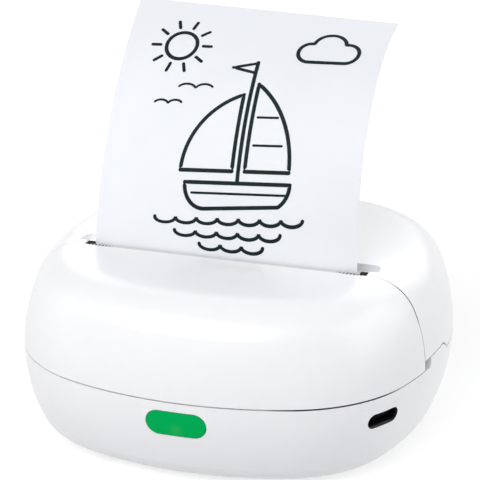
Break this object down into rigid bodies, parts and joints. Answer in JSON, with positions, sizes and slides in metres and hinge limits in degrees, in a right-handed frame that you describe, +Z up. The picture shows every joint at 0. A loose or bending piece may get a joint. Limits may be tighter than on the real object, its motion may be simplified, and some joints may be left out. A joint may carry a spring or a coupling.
{
  "type": "portable thermal printer",
  "caption": "Small rounded white thermal printer with a rear-hinged lid, paper curling up from a slot, a green power button on the front and a charging port on its side",
  "frame": {"origin": "on the table, midway between the body's sides and between its front and back", "axes": "+X right (charging port side), +Y back (lid hinge side), +Z up"},
  "size_m": [0.09, 0.09, 0.085],
  "materials": {
    "shell_white": "glossy",
    "tear_edge": "satin",
    "steel": "satin",
    "screw_steel": "satin",
    "spring_steel": "polished",
    "motor_can": "satin",
    "rotor_magnet": "matte",
    "foot_rubber": "matte",
    "platen_rubber": "matte",
    "gear_plastic": "satin",
    "dark_plastic": "matte",
    "bushing_plastic": "satin",
    "head_sink": "satin",
    "head_ceramic": "glazed",
    "paper": "smooth paper",
    "core_card": "card",
    "button_green": "satin",
    "circuit_board": "solder mask",
    "chip_black": "matte",
    "light_lens": "frosted",
    "battery_wrap": "foil",
    "ribbon_film": "film",
    "lead_sleeve": "matte"
  },
  "bodies": {
    "base": {"base_shell": "shell_white", "front_cover": "shell_white", "tear_bar": "tear_edge", "hinge_pin": "steel", "rubber_feet": "foot_rubber", "cover_screws": "screw_steel", "print_frame": "steel", "head_pin": "steel", "gear_pins": "steel", "stepper_motor": "motor_can", "motor_screws": "screw_steel", "roll_cradle": "dark_plastic", "chassis_screws": "screw_steel", "paper_strip": "paper", "button_board": "circuit_board", "tact_switch": "dark_plastic", "status_light": "light_lens", "usb_shell": "steel", "usb_tongue": "dark_plastic", "main_board": "circuit_board", "board_chips": "chip_black", "board_screws": "screw_steel", "battery_cell": "battery_wrap", "head_springs": "spring_steel", "head_ribbon": "ribbon_film", "motor_lead": "lead_sleeve", "paper_sensor": "dark_plastic"},
    "lid": {"rear_lid": "shell_white", "platen_carrier": "dark_plastic", "platen_bushings": "bushing_plastic", "carrier_screws": "screw_steel"},
    "platen": {"platen_shaft": "steel", "platen_rubber": "platen_rubber", "platen_gear": "gear_plastic"},
    "roll": {"paper_roll": "paper", "roll_core": "core_card"},
    "idler": {"idler_gear": "gear_plastic"},
    "compound": {"compound_gear": "gear_plastic"},
    "rotor": {"motor_shaft": "steel", "motor_rotor": "rotor_magnet", "motor_pinion": "gear_plastic"},
    "head": {"head_plate": "head_sink", "head_ceramic": "head_ceramic"},
    "button": {"power_button": "button_green"}
  },
  "joints": [
    {"name": "lid_hinge", "type": "hinge", "parent": "base", "child": "lid", "pos_m": [0, 0.0426, 0.0168], "axis": [-1, 0, 0], "range_deg": [0, 95]},
    {"name": "roll_spin", "type": "hinge", "parent": "base", "child": "roll", "pos_m": [0, 0.011, 0.0191], "axis": [1, 0, 0], "continuous": true},
    {"name": "platen_spin", "type": "hinge", "parent": "lid", "child": "platen", "pos_m": [0, -0.00814, 0.026], "axis": [1, 0, 0], "continuous": true},
    {"name": "idler_spin", "type": "hinge", "parent": "base", "child": "idler", "pos_m": [0, -0.01011, 0.01513], "axis": [1, 0, 0], "continuous": true},
    {"name": "compound_spin", "type": "hinge", "parent": "base", "child": "compound", "pos_m": [0, -0.01767, 0.02097], "axis": [1, 0, 0], "continuous": true},
    {"name": "motor_spin", "type": "hinge", "parent": "base", "child": "rotor", "pos_m": [0, -0.022, 0.0108], "axis": [1, 0, 0], "continuous": true},
    {"name": "head_pivot", "type": "hinge", "parent": "base", "child": "head", "pos_m": [0, -0.01496, 0.0176], "axis": [1, 0, 0], "range_deg": [0, 3], "stiffness_Nm_per_rad": 0.8, "deforming": ["head_springs"]},
    {"name": "button_press", "type": "slide", "parent": "base", "child": "button", "axis": [0, 1, 0], "range_m": [0, 0.0005], "stiffness_N_per_m": 1500}
  ],
  "couplings": [
    {"joint": "platen_spin", "follows": "roll_spin", "ratio": 3.1111},
    {"joint": "idler_spin", "follows": "roll_spin", "ratio": -2.5926},
    {"joint": "compound_spin", "follows": "roll_spin", "ratio": 4.4444},
    {"joint": "motor_spin", "follows": "roll_spin", "ratio": -11.852}
  ]
}
